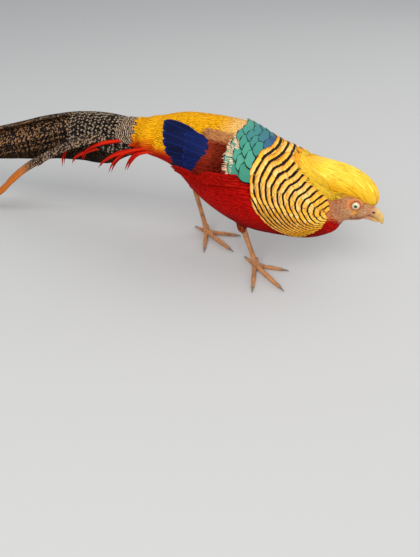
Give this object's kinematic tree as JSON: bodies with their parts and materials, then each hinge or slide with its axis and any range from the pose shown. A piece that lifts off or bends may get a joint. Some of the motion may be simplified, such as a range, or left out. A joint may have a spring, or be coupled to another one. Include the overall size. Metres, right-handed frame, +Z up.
{
  "type": "golden pheasant",
  "caption": "Life-size still model of a male golden pheasant foraging with lowered head, barred ruff, folded wings and a long spotted tail, standing on both feet.",
  "frame": {"origin": "middle of the bounding box on the floor the feet stand on", "axes": "+X the way the bird faces, +Y to its left, +Z up"},
  "size_m": [0.9866, 0.1234, 0.1679],
  "materials": {
    "scarlet_feather": "satin scarlet contour feathers, loose and hair-like at their ends",
    "ruff_feather": "orange-gold ruff feathers, each with a blue-black bar, over blue-green scaled mantle feathers",
    "golden_feather": "silky yellow crest plumes",
    "wing_feather": "deep blue tertials under maroon scapulars",
    "tail_feather": "blackish tail feathers spotted cinnamon, with scarlet coverts at the base",
    "face": "rusty buff face with orange bare skin round the eye",
    "bill_horn": "horn yellow bill",
    "eyeball": "wet eye with a pale cream iris and a small black pupil",
    "leg_scale": "dull yellow scaly shanks and toes",
    "claw_horn": "grey-brown claws"
  },
  "bodies": {
    "root": {"torso": "scarlet_feather", "neck": "ruff_feather", "head": "face", "crest": "golden_feather", "bill_upper": "bill_horn", "bill_lower": "bill_horn", "eye_right": "eyeball", "eye_left": "eyeball", "tail": "tail_feather", "wing_right": "wing_feather", "thigh_right": "scarlet_feather", "shank_right": "leg_scale", "foot_right": "leg_scale", "claw_right_outer": "claw_horn", "claw_right_middle": "claw_horn", "claw_right_inner": "claw_horn", "claw_right_hind": "claw_horn", "wing_left": "wing_feather", "thigh_left": "scarlet_feather", "shank_left": "leg_scale", "foot_left": "leg_scale", "claw_left_outer": "claw_horn", "claw_left_middle": "claw_horn", "claw_left_inner": "claw_horn", "claw_left_hind": "claw_horn"}
  },
  "joints": []
}
